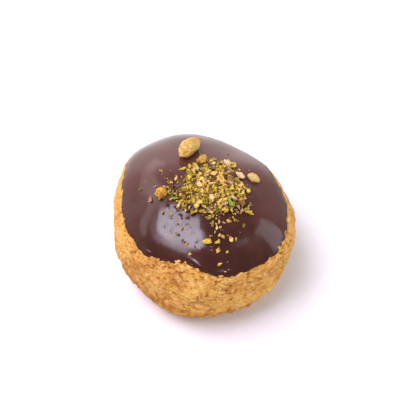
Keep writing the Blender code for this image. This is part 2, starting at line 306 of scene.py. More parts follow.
# %% Plates and lumps
CRUST_PROUD = 0.4 * MM
LUMP_SIZE = 11.0 * MM
LUMP_HEIGHT = 0.9 * MM
PLATE_SIZE = 9.0 * MM
PLATE_CRACK = 0.6 * MM
PLATE_CRACK_WIDTH = 0.10  # as a share of a plate
CRACKED_PATCHES = (7.0 * MM, 0.5, 1.8)  # size, middle and contrast
SWIRL_SIZE = 5.0 * MM
SWIRL = 1.6 * MM


def swirled(points):
    """The points pushed about a little, so that cracks and pits don't look like tidy cells."""
    shift = [noise_at(points + offset * MM, SWIRL_SIZE) for offset in (0.0, 37.0, 71.0)]
    return points + SWIRL * np.stack(shift, axis=-1)


def plates_and_lumps(points, loose):
    """Their height, and how deep in a crack between plates each point is."""
    from_border = cells_at(loose, PLATE_SIZE)[1]
    crack = np.exp(-((from_border / PLATE_CRACK_WIDTH) ** 2))
    crack *= patches_at(points, *CRACKED_PATCHES)
    return CRUST_PROUD + LUMP_HEIGHT * noise_at(points, LUMP_SIZE) - PLATE_CRACK * crack, crack


print("plates", round(PLATE_SIZE / MM, 1), "mm wide, lumps", round(LUMP_SIZE / MM, 1), "mm")

# %% Dashes and pits
DASH_LENGTH = 2.2 * MM
DASH_WIDTH = 0.9 * MM
DASH_FROM, DASH_SLOPE = 0.20, 0.22  # noise at which a dash begins, and how much more is its wall
TORN_SHIFT = 9.0 * MM
TORN_PATCHES = (9.0 * MM, 0.7, 1.6)
PIT_SIZE = 1.9 * MM
PIT_REACH, PIT_SLOPE = 0.40, 0.28  # radius of a pit and width of its wall, as shares of its size
PITTED_PATCHES = (3.0 * PIT_SIZE, 0.5, 2.0)
WAVER = 0.6


def streaks_at(points, azimuth, fall, along, across):
    """Noise on a drum: its streaks are so long round the bun, and so wide from top to bottom."""
    drum = np.stack([np.cos(azimuth), np.sin(azimuth)], axis=-1) * BELLY_RADIUS / along
    up = fall * BELLY_RADIUS / across + WAVER * noise_at(points, SWIRL_SIZE)
    return noise_at(np.concatenate([drum, up[..., None]], axis=-1), 1.0)


def dashes_and_pits(points, loose, azimuth, fall):
    """How deep in a dash, and how deep in a pit, each point is."""
    streaks = streaks_at(points, azimuth, fall, DASH_LENGTH, DASH_WIDTH)
    dash = smooth_step((streaks - DASH_FROM) / DASH_SLOPE)
    pit = smooth_step((PIT_REACH - cells_at(loose, PIT_SIZE)[0]) / PIT_SLOPE)
    torn = patches_at(points + TORN_SHIFT, *TORN_PATCHES)
    return torn * dash, patches_at(loose, *PITTED_PATCHES) * pit


print("dashes", round(DASH_LENGTH / MM, 1), "mm long, pits", round(PIT_SIZE / MM, 1), "mm apart")

# %% The seam and the ridges of the foot
SEAM_DEPTH = 0.7 * MM
SEAM_BELOW, SEAM_WIDTH = 0.8, 1.0  # in degrees under the lip
FOOT_RIDGE = 1.2 * MM
FOOT_RIDGE_WIDTH = 3.4 * MM
FOOT_RIDGE_LENGTH = 9.0 * MM
FURROW_SLOPE = 0.3


def seam_and_ridges(points, azimuth, fall, below_lip):
    """Their height, and how deep in the seam, and in a furrow, each point is."""
    seam = np.exp(-(((below_lip - SEAM_BELOW) / SEAM_WIDTH) ** 2))
    ridges = streaks_at(points, azimuth, fall, FOOT_RIDGE_WIDTH, FOOT_RIDGE_LENGTH)
    below = below_lip > 0
    height = below * FOOT_RIDGE * ridges - SEAM_DEPTH * seam
    return height, seam, below * smooth_step(-ridges / FURROW_SLOPE)


print("ridges", round(FOOT_RIDGE_WIDTH / MM, 1), "mm apart")

# %% All the relief of the crust
LIP_PROUD = 0.8 * MM
FOOT_RECESS = 1.2 * MM
LIP_FADE = 9.0
SHOULDER = 1.0 * MM
SHOULDER_FADE = 6.0
DASH_DEPTH = 0.65 * MM
PIT_DEPTH = 0.5 * MM
GRAINS = ((4.5 * MM, 0.38 * MM), (2.1 * MM, 0.30 * MM), (1.1 * MM, 0.22 * MM))
GRAIN_SPAN = 2.2 * sum(height for _, height in GRAINS)

# Where each part of the relief begins, in degrees below the icing's edge, and over how many
# degrees it grows to its full height.
BARE_FROM, BARE_GROWTH = 1.0, 4.0
GRAIN_FROM, GRAIN_GROWTH = -3.0, 2.0
SHOULDER_FROM, SHOULDER_GROWTH = -6.0, 5.0

# Down at the ground the relief flattens out, to this share of the finer part.
GROUND_FADE = 5.0 * MM
FINE_AT_GROUND = 0.25

# How strongly the finish darkens each hollow: painted shade, and partly browning in cracks and pits.
CRACK_SHADE, DASH_SHADE, PIT_SHADE, SEAM_SHADE, FURROW_SHADE = 0.5, 0.9, 0.7, 0.8, 0.5


def crust_relief(azimuth, fall):
    """How far the crust stands off the form, how deep in a hollow it is, and its grain."""
    points = form_point(azimuth, fall)
    loose = swirled(points)
    below_lip = np.degrees(fall - lip_fall(azimuth))
    below_icing = np.degrees(fall - edge_fall(azimuth))
    large, crack = plates_and_lumps(points, loose)
    dash, pit = dashes_and_pits(points, loose, azimuth, fall)
    foot, seam, furrow = seam_and_ridges(points, azimuth, fall, below_lip)
    grains = sum(height * noise_at(points, size) for size, height in GRAINS)
    fine = grains - DASH_DEPTH * dash - PIT_DEPTH * pit + foot

    lip = np.where(below_lip < 0, LIP_PROUD, -FOOT_RECESS) * np.exp(-np.abs(below_lip) / LIP_FADE)
    shoulder = SHOULDER * smooth_step((below_icing - SHOULDER_FROM) / SHOULDER_GROWTH)
    shoulder *= np.exp(-np.maximum(0, below_icing) / SHOULDER_FADE)
    bare = smooth_step((below_icing - BARE_FROM) / BARE_GROWTH)
    grained = smooth_step((below_icing - GRAIN_FROM) / GRAIN_GROWTH)
    off_ground = smooth_step(points[..., 2] / GROUND_FADE)
    relief = bare * (lip + off_ground * large) + shoulder
    relief += grained * (FINE_AT_GROUND + (1 - FINE_AT_GROUND) * off_ground) * fine

    # The finish darkens these hollows: painted shade, with some browning in cracks and pits.
    depth = CRACK_SHADE * crack + DASH_SHADE * dash + PIT_SHADE * pit
    depth = depth + SEAM_SHADE * seam + FURROW_SHADE * furrow
    return relief, grained * np.clip(depth, 0, 1), 0.5 + grains / GRAIN_SPAN


print("grain of", [round(size / MM, 1) for size, _ in GRAINS], "mm")

# %% The bun's mesh
BUN_AROUND = 640
ICED_RINGS = 6
EDGE_RING, LIP_RING, GROUND_RING, FOOT_RINGS = 12, 96, 122, 8
FIRST_RING = np.radians(4.0)
ICED_ABOVE = np.radians(5.0)  # from here up the crust is hidden, and its rings are far apart
EDGE_ABOVE = np.radians(1.0)
GROUND_CLEAR = 0.05 * MM

around = round_the_bun(BUN_AROUND)
bun_falls = falls_between(
    (
        (0, FIRST_RING),
        (ICED_RINGS, edge_fall(around) - ICED_ABOVE),
        (EDGE_RING, edge_fall(around) - EDGE_ABOVE),
        (LIP_RING, lip_fall(around)),
        (GROUND_RING, base_fall(around)),
    ),
    BUN_AROUND,
)
azimuths = np.broadcast_to(around, bun_falls.shape)
relief, depth, grains = crust_relief(azimuths, bun_falls)
crust_rings = form_point(azimuths, bun_falls, relief)
crust_rings[:-1, :, 2] = np.maximum(crust_rings[:-1, :, 2], GROUND_CLEAR)
crust_rings[-1, :, 2] = 0.0

# The underside goes in flat, in smaller and smaller rings.
ground = np.array((AXIS.x, AXIS.y, 0.0))
shrink = 1 - np.arange(1, FOOT_RINGS) / FOOT_RINGS
foot_rings = ground + (crust_rings[-1] - ground) * shrink[:, None, None]
bun = skin_of_rings("baked_crust", np.concatenate([crust_rings, foot_rings]), apex, ground)
print("bun:", len(bun.data.polygons), "faces, relief", (relief.min() / MM).round(2), "to",
      (relief.max() / MM).round(2), "mm")

# %% What the crust's finish will need to know
FOOT_COLOUR_ABOVE = 0.6
FOOT_COLOUR_SLOPE = 4.0
BROWNED_AND_SHADED = (
    # browned, and painted shade low on the left: azimuth, fall and reach in degrees, and strength
    (-105, 71, 8, 0.9), (-102, 77, 5, 0.8), (-65, 78, 9, 0.6), (-127, 73, 10, 0.6),
    (-135, 87, 14, 0.7), (-125, 97, 9, 0.35), (-48, 82, 9, 0.6), (-30, 84, 10, 0.3),
    (60, 80, 12, 0.5), (150, 84, 12, 0.5), (20, 90, 10, 0.4),
)

below_lip = np.degrees(bun_falls - lip_fall(around))
foot = smooth_step(below_lip / FOOT_COLOUR_SLOPE + FOOT_COLOUR_ABOVE)
browned_and_shaded = np.clip(mounds(BROWNED_AND_SHADED, azimuths, bun_falls), 0, 1)
for name, values, under in (
    # pit: darkening of the hollows, the seam and the furrows, painted shade and partly browning
    ("pit", depth, 0.0),
    # grain: height of the fine grain, which the finish paints as light and shade
    ("grain", grains, 0.5),
    ("foot", foot, 1.0),
    # the browner patches, partly painted shade low on the left
    ("browned_and_shaded", browned_and_shaded, 0.3),
):
    keep_on_rings(bun, name, under, values, under)
    print(name, "stored, on average", values.mean().round(2))

# %% [markdown]
# ## Finishes are made of nodes
#
# Every finish below is a small graph of nodes: textures that depend on the place in space, mixed
# into a colour, a roughness and a bump. The same few kinds of node come back each time, so short
# helpers make them and wire them up.

# %% Nodes that give a value
def new_finish(name):
    """A material, its node tree and its main shader."""
    material = bpy.data.materials.new(name)
    material.use_nodes = True
    tree = material.node_tree
    return material, tree, tree.nodes["Principled BSDF"]


def plug(tree, value, socket):
    """Links an output to a socket, or sets the socket to a plain value."""
    if isinstance(value, bpy.types.NodeSocket):
        tree.links.new(value, socket)
    elif socket.type == "RGBA":
        socket.default_value = (*value, 1.0)
    else:
        socket.default_value = value


def grain(tree, size, detail=3.0, seed=0.0, stretch=(1, 1, 1)):
    """Noise from 0 to 1 with features of about this size, in metres."""
    place = tree.nodes.new("ShaderNodeTexCoord").outputs["Object"]
    mapping = tree.nodes.new("ShaderNodeMapping")
    mapping.inputs["Location"].default_value = (seed, seed, seed)
    mapping.inputs["Scale"].default_value = stretch
    texture = tree.nodes.new("ShaderNodeTexNoise")
    texture.inputs["Scale"].default_value = 1 / size
    texture.inputs["Detail"].default_value = detail
    tree.links.new(place, mapping.inputs["Vector"])
    tree.links.new(mapping.outputs["Vector"], texture.inputs["Vector"])
    return texture.outputs["Fac"]


def stored(tree, name):
    """The numbers that were stored on the mesh under this name."""
    node = tree.nodes.new("ShaderNodeAttribute")
    node.attribute_name = name
    return node.outputs["Fac"]


def between(tree, value, low, high, first=0.0, last=1.0):
    """The value stretched so that low gives first and high gives last, and cut off there."""
    node = tree.nodes.new("ShaderNodeMapRange")
    node.interpolation_type = "SMOOTHSTEP"
    plug(tree, value, node.inputs["Value"])
    limits = (low, high, first, last)
    for socket, limit in zip(("From Min", "From Max", "To Min", "To Max"), limits):
        node.inputs[socket].default_value = limit
    return node.outputs["Result"]


def spots(tree, size, low, high, **kind):
    """1 where the grain is above high, 0 where it is below low, and soft in between."""
    return between(tree, grain(tree, size, **kind), low, high)


def worked_out(tree, kind, first, second):
    """Two values put together. The kind is ADD or MULTIPLY."""
    node = tree.nodes.new("ShaderNodeMath")
    node.operation = kind
    plug(tree, first, node.inputs[0])
    plug(tree, second, node.inputs[1])
    return node.outputs[0]


print("helpers ready: grain, spots and stored values")

# %% Nodes that make up a finish
def blend(tree, share, first, second):
    """A colour that goes from the first to the second as the share goes from 0 to 1."""
    node = tree.nodes.new("ShaderNodeMix")
    node.data_type = "RGBA"
    plug(tree, share, node.inputs["Factor"])
    plug(tree, first, node.inputs[6])  # inputs 6 and 7 are the two colours, output 2 their mix
    plug(tree, second, node.inputs[7])
    return node.outputs[2]


def layered(tree, colour, *layers):
    """The colour with others laid over it. A layer is where it shows, how strongly, and its
    colour."""
    for where, strength, over in layers:
        colour = blend(tree, worked_out(tree, "MULTIPLY", where, strength), colour, over)
    return colour


def matt(tree, shader, colour, size, roughness, mirror):
    """A colour, a roughness between two values in patches of this size, and a weak mirror."""
    plug(tree, colour, shader.inputs["Base Color"])
    plug(tree, between(tree, grain(tree, size), 0.3, 0.7, *roughness), shader.inputs["Roughness"])
    shader.inputs["Specular IOR Level"].default_value = mirror


def bumped(tree, shader, height, distance, strength=1.0):
    node = tree.nodes.new("ShaderNodeBump")
    node.inputs["Distance"].default_value = distance
    node.inputs["Strength"].default_value = strength
    plug(tree, height, node.inputs["Height"])
    tree.links.new(node.outputs["Normal"], shader.inputs["Normal"])


def dress(obj, material, body="root"):
    """Gives the piece its material and fixes it to the body."""
    obj.data.materials.clear()
    obj.data.materials.append(material)
    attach(obj, body)


print("helpers ready: blend, layers, matt surfaces and bumps")

# %% [markdown]
# ## The finish of the crust
#
# Baked dough is golden where it is thick and dry, honey brown where it is thin, and brown in its
# cracks and pits. One flat colour would look like plastic. So a golden ground gets layer after
# layer: patches, flecks and freckles come from noise, and the rest is what was stored on the mesh,
# so that colour and shape agree. Part of that is painted light and shade: the raised grain is
# painted paler and the low grain honey brown, the hollows, the seam and the furrows of the foot
# are darkened as painted shade, and low on the left a browner patch is painted shade as well.
# The foot is browner because it touched the tray.

# %% Golden crust
GOLD = (0.78, 0.412, 0.077)
YELLOW = (0.79, 0.475, 0.10)
PALE_GRAIN = (0.93, 0.59, 0.25)
HONEY = (0.66, 0.285, 0.042)
BROWN = (0.38, 0.125, 0.016)
TOAST = (0.55, 0.21, 0.030)
FOOT_GOLD = (0.77, 0.355, 0.050)
FOOT_BROWN = (0.54, 0.20, 0.026)
UPRIGHT = (1, 1, 0.3)

golden, tree, shader = new_finish("golden crust")
freckles = spots(tree, 0.8 * MM, 0.54, 0.64, seed=11)
freckled_places = spots(tree, 7 * MM, 0.43, 0.56, detail=2, seed=13)
ridges = spots(tree, 2.4 * MM, 0.42, 0.60, detail=4, seed=21, stretch=UPRIGHT)
colour = layered(
    tree,
    GOLD,
    # where it shows, how strongly, and its colour
    (spots(tree, 9 * MM, 0.42, 0.62, detail=2), 0.7, HONEY),
    (spots(tree, 6 * MM, 0.5, 0.62, detail=2, seed=8), 0.7, YELLOW),
    # browner patches: baking, and low on the left painted shade
    (stored(tree, "browned_and_shaded"), 0.75, TOAST),
    (spots(tree, 1.6 * MM, 0.5, 0.66, detail=4, seed=3), 0.5, PALE_GRAIN),
    # painted light and shade: paler on the raised grain, honey brown on the low grain
    (between(tree, stored(tree, "grain"), 0.50, 0.80), 0.6, PALE_GRAIN),
    (between(tree, stored(tree, "grain"), 0.47, 0.25), 0.7, HONEY),
    (worked_out(tree, "MULTIPLY", freckles, freckled_places), 0.75, BROWN),
    (stored(tree, "foot"), 0.85, blend(tree, ridges, FOOT_GOLD, FOOT_BROWN)),
    # painted shade in the hollows, the seam and the furrows, partly the crust's own browning
    (stored(tree, "pit"), 0.9, BROWN),
)
matt(tree, shader, colour, 2 * MM, (0.55, 0.8), 0.25)
sand = worked_out(tree, "ADD", grain(tree, 0.6 * MM), grain(tree, 1.3 * MM, seed=5))
bumped(tree, shader, sand, 0.5 * MM)

dress(bun, golden)
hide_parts("bun")
print("golden crust:", len(tree.nodes), "nodes")

# %% [markdown]
# ## The icing
#
# Melted chocolate icing finds its own level: it smooths over the crust, ends in a rounded bead
# that is a little thicker than the rest, and creeps into the crags, which leaves its edge ragged.
# A solidified grid with a bevel gives the solid's shape. For the look, the height of the icing is
# written as a curve of the distance from its edge, so the bead and the ragged line are real. A few
# crumbs sank in while it was soft, and the icing flowed over them: they are low bumps on it.

# %% How much thicker the icing is here and there
DRIFTS = ((16.0 * MM, 0.30 * MM), (8.0 * MM, 0.10 * MM), (3.5 * MM, 0.02 * MM))
POOLS = (
    # places where the icing lies thicker: azimuth, fall and reach in degrees, and height
    (-168, 34, 13, 0.8 * MM),
)
SUNKEN = (
    # crumbs that the icing flowed over: x and y in mm, seen from above
    (-14.5, -10.8), (-11.1, -11.4), (-6.5, -12.7), (-9.0, -15.0), (-13.4, -16.1),
    (-5.4, -17.1), (-8.5, -16.7), (-5.4, -19.8), (-4.5, -21.2), (-12.2, -20.9),
    (-9.9, -19.6), (-14.9, -18.9), (-3.1, -24.0), (-6.6, -26.0), (-1.5, -26.6),
)
SUNKEN_RISE = 0.16 * MM
SUNKEN_RADIUS = 0.9 * MM


def icing_drift(azimuth, fall):
    """How much thicker than usual the icing is in each direction."""
    points = form_point(azimuth, fall)
    drift = sum(height * noise_at(points, size) for size, height in DRIFTS)
    for x, y in SUNKEN:
        away = np.hypot(points[..., 0] - AXIS.x - x * MM, points[..., 1] - AXIS.y - y * MM)
        drift = drift + SUNKEN_RISE * np.exp(-((away / SUNKEN_RADIUS) ** 2))
    return drift + mounds(POOLS, azimuth, fall)


print("icing:", len(SUNKEN), "crumbs sunk in it")

# %% The edge of the icing
EDGE_COVERED = np.radians(1.2)
RAGGED = ((6.0 * MM, 0.6), (2.4 * MM, 0.6), (1.1 * MM, 0.55))
ICING_AROUND = 640
CROWN_RINGS, RIM_RINGS, HIDDEN_RINGS = 84, 22, 6
FIRST_ICING_RING = np.radians(0.8)
RIM_STRIP = np.radians(5.0)

around = round_the_bun(ICING_AROUND)
rim_points = form_point(around, edge_fall(around))
ragged = sum(np.radians(degrees) * noise_at(rim_points, size) for size, degrees in RAGGED)
rim_fall = edge_fall(around) + EDGE_COVERED + ragged
icing_falls = falls_between(
    (
        (0, FIRST_ICING_RING),
        (CROWN_RINGS, rim_fall - RIM_STRIP),
        (CROWN_RINGS + RIM_RINGS, rim_fall),
    ),
    ICING_AROUND,
)
azimuths = np.broadcast_to(around, icing_falls.shape)
from_rim = (rim_fall - icing_falls) * form_radius(azimuths, icing_falls)
print("ragged edge: from", np.degrees(ragged.min()).round(1), "to",
      np.degrees(ragged.max()).round(1), "degrees")

# %% The icing's mesh
ICING_LIFT = 1.65 * MM
ICING_SUNK = 0.6 * MM
EDGE_LIFT = 0.85 * MM
THINNING = 3.6 * MM
BEAD_AT = 2.3 * MM
BEAD_WIDTH = 1.0 * MM
BEADS = (
    # azimuth and half width of a thick stretch of the edge in degrees, and how far it swells
    (-83, 10, 1.2 * MM),
    (-131, 5, 0.5 * MM),
    (35, 10, 0.4 * MM),
    (100, 30, 0.3 * MM),
)


def degrees_from(azimuth, heading):
    """How far each azimuth is from a heading in degrees, at most half a turn."""
    return np.degrees((azimuth - np.radians(heading) + np.pi) % (2 * np.pi) - np.pi)


ragged_by = ragged * form_radius(around, rim_fall)
bead = np.exp(-(((from_rim - ragged_by - BEAD_AT) / BEAD_WIDTH) ** 2)) * sum(
    swell * np.exp(-((degrees_from(around, at) / half) ** 2)) for at, half, swell in BEADS
)
rounding = 1 - np.exp(-from_rim / THINNING)
settled = smooth_step(from_rim / (2 * THINNING))
drift = icing_drift(azimuths, icing_falls)
lift = EDGE_LIFT + (ICING_LIFT - EDGE_LIFT) * rounding + bead + settled * drift
form = form_point(azimuths, icing_falls)
icing_rings = form + form_normal(azimuths, icing_falls) * lift[..., None]

# The hidden underside runs back to the top, just inside the crust.
share = np.arange(1, HIDDEN_RINGS) / HIDDEN_RINGS
hidden_falls = rim_fall * (1 - share[:, None])
hidden = form_point(np.broadcast_to(around, hidden_falls.shape), hidden_falls, -ICING_SUNK)
crown = apex + np.array((0, 0, ICING_LIFT + drift[0].mean()))
under_crown = apex - np.array((0, 0, ICING_SUNK))
icing_points = np.concatenate([icing_rings, hidden])
icing = skin_of_rings("chocolate_icing", icing_points, crown, under_crown)
print("icing:", len(icing.data.polygons), "faces, up to", (lift.max() / MM).round(1), "mm thick")

# %% What the icing's finish will need to know
PAINTED_SHEEN_PATCHES = (
    # where a paler brown is painted in as painted sheen: azimuth, fall and reach in degrees, and
    # strength
    (150, 48, 34, 0.66), (-175, 66, 22, 0.1), (95, 45, 26, 0.55), (40, 60, 30, 1.0),
    (-15, 62, 16, 0.45),
)

thin = 1 - smooth_step(from_rim / THINNING)
# how strongly the painted sheen shows in each direction
painted_sheen = np.clip(mounds(PAINTED_SHEEN_PATCHES, azimuths, icing_falls), 0, 1)
for name, values in (("thin", thin), ("painted_sheen", painted_sheen)):
    keep_on_rings(icing, name, 0.0, values, 1.0)
    print(name, "stored, on average", values.mean().round(2))

# %% [markdown]
# ## The finish of the icing
#
# Dark chocolate icing has almost no colour of its own: what the eye sees is mostly the room
# mirrored in it. So its colour is near black with a little red, its roughness is low but not zero,
# and the soft lights further down do the rest. Along the edge it is thin, and turns redder. On the
# far side and the upper left a paler brown is painted in as painted sheen, standing in for light
# and reflection: those patches are stored on the mesh as a number, and the finish mixes in the
# paler brown there. A brighter light would look the same from one side only.

# %% Dark chocolate gloss
CHOCOLATE = (0.048, 0.0135, 0.0085)
CLOUDY = (0.066, 0.0195, 0.0135)
# painted sheen: the paler brown laid on where the far side and upper left catch light
PAINTED_SHEEN_BROWN = (0.128, 0.045, 0.037)
THIN_CHOCOLATE = (0.060, 0.0125, 0.008)

DULL = (0.13, 0.21)  # the least and greatest roughness, away from the edge
DULLER_EDGE = 0.3

gloss, tree, shader = new_finish("chocolate gloss")
thin_part = stored(tree, "thin")
colour = blend(tree, spots(tree, 12 * MM, 0.4, 0.7, detail=2), CHOCOLATE, CLOUDY)
# painted sheen: paler brown patches standing in for light and reflection
colour = blend(tree, stored(tree, "painted_sheen"), colour, PAINTED_SHEEN_BROWN)
colour = blend(tree, thin_part, colour, THIN_CHOCOLATE)
plug(tree, colour, shader.inputs["Base Color"])
dull = between(tree, grain(tree, 5 * MM, seed=2), 0.35, 0.7, *DULL)
duller = between(tree, thin_part, 0.5, 1.0, 0.0, DULLER_EDGE)
plug(tree, worked_out(tree, "ADD", dull, duller), shader.inputs["Roughness"])
shader.inputs["IOR"].default_value = 1.5
bumped(tree, shader, grain(tree, 1.8 * MM, detail=2, seed=4), 0.02 * MM, 0.5)
dress(icing, gloss)
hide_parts("icing")
print("chocolate gloss:", len(tree.nodes), "nodes")

# %% [markdown]
# ## Putting things on the icing
#
# Nuts and crumbs are placed as a cook sees them, from above: so far right and so far back of the
# middle, in millimetres. To find the height and the slope there, the fall is halved until the
# form's reach matches, and the piece is stood on the icing's outer face, along its normal.

# %% From a place seen from above to the top of the icing
def fall_at(reach, azimuth):
    """The fall at which the form lies this far out from its axis."""
    top, side = np.zeros_like(azimuth), np.full_like(azimuth, np.radians(80.0))
    return by_halving(top, side, lambda fall: form_radius(azimuth, fall) * np.sin(fall) < reach)


def top_of_icing(x, y):
    """Points and normals of the icing's outer face at x and y, in millimetres from the axis."""
    x, y = np.asarray(x, float), np.asarray(y, float)
    azimuth = np.arctan2(y, x)
    fall = fall_at(np.hypot(x, y) * MM, azimuth)
    normal = form_normal(azimuth, fall)
    lift = ICING_LIFT + icing_drift(azimuth, fall)
    return form_point(azimuth, fall) + normal * lift[..., None], normal


def lying_at(x, y, heading, lift):
    """Matrix that lays a piece on the icing, its own X along a heading seen from above."""
    point, normal = (Vector(values) for values in top_of_icing(x, y))
    ahead = Vector((math.cos(heading), math.sin(heading), 0.0))
    along = (ahead - normal * ahead.dot(normal)).normalized()
    turned = Matrix((along, normal.cross(along), normal)).transposed().to_4x4()
    return Matrix.Translation(point + normal * lift) @ turned


print("the icing's top, mm:", round(top_of_icing(0, 0)[0][2] / MM, 1))

# %% [markdown]
# ## The four large pieces of nut
#
# A pistachio kernel is an egg that comes to a point, and roasting leaves its skin wrinkled. The
# broken pieces are the same form, cut short and knocked about. Each starts as a finely divided
# ball. It takes the same shape as its solid first, and then a few flat faces, cut off by planes at
# random: they are shallow on a whole kernel and deep on a broken one. Wrinkles along its length and
# small chips follow, and a value for how low in its relief each point lies, which the finish reads:
# it darkens the low places, partly as skin left there and partly as painted shade.

# %% Balls with flat faces
CUTS = 10
STEEPEST_CUT = 0.05


def nut_ball(fineness):
    """A ball as a mesh, and its points."""
    bm = bmesh.new()
    bmesh.ops.create_icosphere(bm, subdivisions=fineness, radius=0.5)
    mesh = bpy.data.meshes.new("ball")
    bm.to_mesh(mesh)
    bm.free()
    return mesh, np.array([vertex.co[:] for vertex in mesh.vertices])


def cut_flat(ball, rng, depths):
    """Cuts a ball of radius 1 by planes at random: how far out each of its points stays, and the
    number of the plane that it lies on."""
    planes = np.array([[rng.gauss(0, 1) for _ in range(3)] for _ in range(CUTS)])
    planes /= np.linalg.norm(planes, axis=1, keepdims=True)
    depth = np.array([rng.uniform(*depths) for _ in range(CUTS)])
    reach = depth / np.maximum(STEEPEST_CUT, ball @ planes.T)
    return reach.min(axis=1), reach.argmin(axis=1)


print("a ball is cut by", CUTS, "planes")

# %% Shape of a nut
NUTS = {
    # name: x, y, heading, length, width, thickness, how broken, as in the solids
    "nut_kernel": (-4.8, 21.5, 60, 16.2, 8.2, 6.6, 0.10),
    "nut_chunk": (0.9, 14.1, 75, 5.8, 5.0, 4.8, 0.32),
    "nut_half": (24.2, 7.1, -27, 6.5, 4.5, 3.0, 0.10),
    "nut_shard": (-16.8, -3.7, 58, 7.2, 4.6, 3.8, 0.36),
}
NUT_CUTS = {
    # fineness of the ball, seed, and least and greatest depth of the flat faces
    "nut_kernel": (6, 7, 0.86, 1.0),
    "nut_chunk": (5, 4, 0.70, 0.98),
    "nut_half": (5, 3, 0.84, 1.0),
    "nut_shard": (5, 2, 0.62, 0.98),
}
NUT_TAPER, TAPER_POWER = 0.5, 1.5
NUT_CHIPS = 2.6


def nut_shape(name, ball):
    """Points of a nut: the form of its solid, and the flat faces."""
    x, y, _, length, width, thickness, broken = NUTS[name]
    own = np.array((x, y, 0.0))
    chip = 1 + broken * noise_at(ball + own / NUT_CHIPS, 1 / NUT_CHIPS)
    shape = ball * (length * MM, width * MM, thickness * MM) * chip[:, None]
    taper = 1 - NUT_TAPER * np.maximum(0.0, 2 * ball[:, 0]) ** TAPER_POWER
    shape[:, 1:] *= taper[:, None]
    _, seed, *depths = NUT_CUTS[name]
    stays, _ = cut_flat(2 * ball, random.Random(seed), depths)
    return shape * np.minimum(stays, 1.0)[:, None]


print("nuts, mm:", {name: row[3:6] for name, row in NUTS.items()})

# %% Relief of a nut
WRINKLE = 0.28 * MM
WRINKLES_ALONG = 1.6
WRINKLES_ACROSS = 5.5
WRINKLE_MIDDLE = 0.6
CHIP = 0.24 * MM
CHIP_SIZE = 1.5 * MM
CHIP_LEAST, CHIP_IF_BROKEN = 0.5, 2
PIMPLE = 0.16 * MM
PIMPLE_SIZE = 0.4 * CHIP_SIZE
CRAG = 0.3 * MM
CRAG_SIZE = 1.3 * MM
CRAG_MIDDLE = 0.1
CRAGGY_FROM = 0.2


def nut_relief(name, out, shape):
    """Wrinkles, chips and pimples, and on a badly broken piece crags too."""
    x, y, *_, broken = NUTS[name]
    own = np.array((x, y, 0.0))
    lengthwise = out * (WRINKLES_ALONG, WRINKLES_ACROSS, WRINKLES_ACROSS) + own
    wrinkle = np.abs(noise_at(lengthwise, 1.0)) + 0.5 * np.abs(noise_at(lengthwise, 0.5))
    chips = np.maximum(0, noise_at(shape + own * MM, CHIP_SIZE))
    relief = WRINKLE * (WRINKLE_MIDDLE - wrinkle)
    relief = relief - CHIP * chips * (CHIP_LEAST + CHIP_IF_BROKEN * broken)
    relief += PIMPLE * noise_at(shape + own * MM, PIMPLE_SIZE)
    if broken > CRAGGY_FROM:
        near, _, step = cells_at(shape + own * MM, CRAG_SIZE)
        relief += CRAG * (step - near - CRAG_MIDDLE)
    return relief


print("wrinkles", round(WRINKLE / MM, 2), "mm deep")

# %% Make the nuts
NUT_SUNK = 0.25 * MM
HOLLOW_AT_LEVEL = 0.35
TIP_FROM, TIP_SLOPE = 0.22, 0.2


def make_nut(name):
    x, y, heading = NUTS[name][:3]
    mesh, ball = nut_ball(NUT_CUTS[name][0])
    mesh.name = name
    shape = nut_shape(name, ball)
    lowest = shape[:, 2].min()
    out = ball / np.linalg.norm(ball, axis=1, keepdims=True)
    relief = nut_relief(name, out, shape)
    shape += out * relief[:, None]
    mesh.vertices.foreach_set("co", shape.astype(np.float32).ravel())
    mesh.transform(lying_at(x, y, math.radians(heading), -lowest - NUT_SUNK))
    mesh.shade_smooth()
    nut = add_object(name + "_looks", mesh)
    # hollow: the lower in the relief, the darker the finish, partly skin and partly painted shade
    keep_values(nut, "hollow", np.clip(HOLLOW_AT_LEVEL - relief / WRINKLE / 2, 0, 1))
    keep_values(nut, "tip", smooth_step((ball[:, 0] - TIP_FROM) / TIP_SLOPE))
    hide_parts(name)
    return nut


nuts = {name: make_nut(name) for name in NUTS}
for name, nut in nuts.items():
    print(name, [round(side / MM, 1) for side in nut.dimensions], "mm")

# %% [markdown]
# ## The finish of roasted nut
#
# Roasted pistachio is tan to orange outside, with rests of a darker skin in the wrinkles and green
# flesh wherever it is bruised. The dark of the wrinkles is partly that skin and partly painted
# shade. One recipe serves all four pieces, with colours for each.

# %% Roasted nut
NUT_COLOURS = {
    # body, paler spots, wrinkles (skin and painted shade), bruises
    "nut_kernel": (
        (0.64, 0.37, 0.075), (0.86, 0.61, 0.22), (0.36, 0.15, 0.025), (0.44, 0.44, 0.08),
    ),
    "nut_chunk": (
        (0.66, 0.37, 0.045), (0.80, 0.53, 0.09), (0.22, 0.09, 0.015), (0.50, 0.38, 0.04),
    ),
    "nut_half": (
        (0.66, 0.44, 0.13), (0.80, 0.58, 0.24), (0.42, 0.21, 0.05), (0.46, 0.42, 0.09),
    ),
    "nut_shard": (
        (0.60, 0.28, 0.015), (0.82, 0.50, 0.05), (0.16, 0.055, 0.008), (0.44, 0.29, 0.025),
    ),
}
TIP_ORANGE = (0.58, 0.20, 0.03)


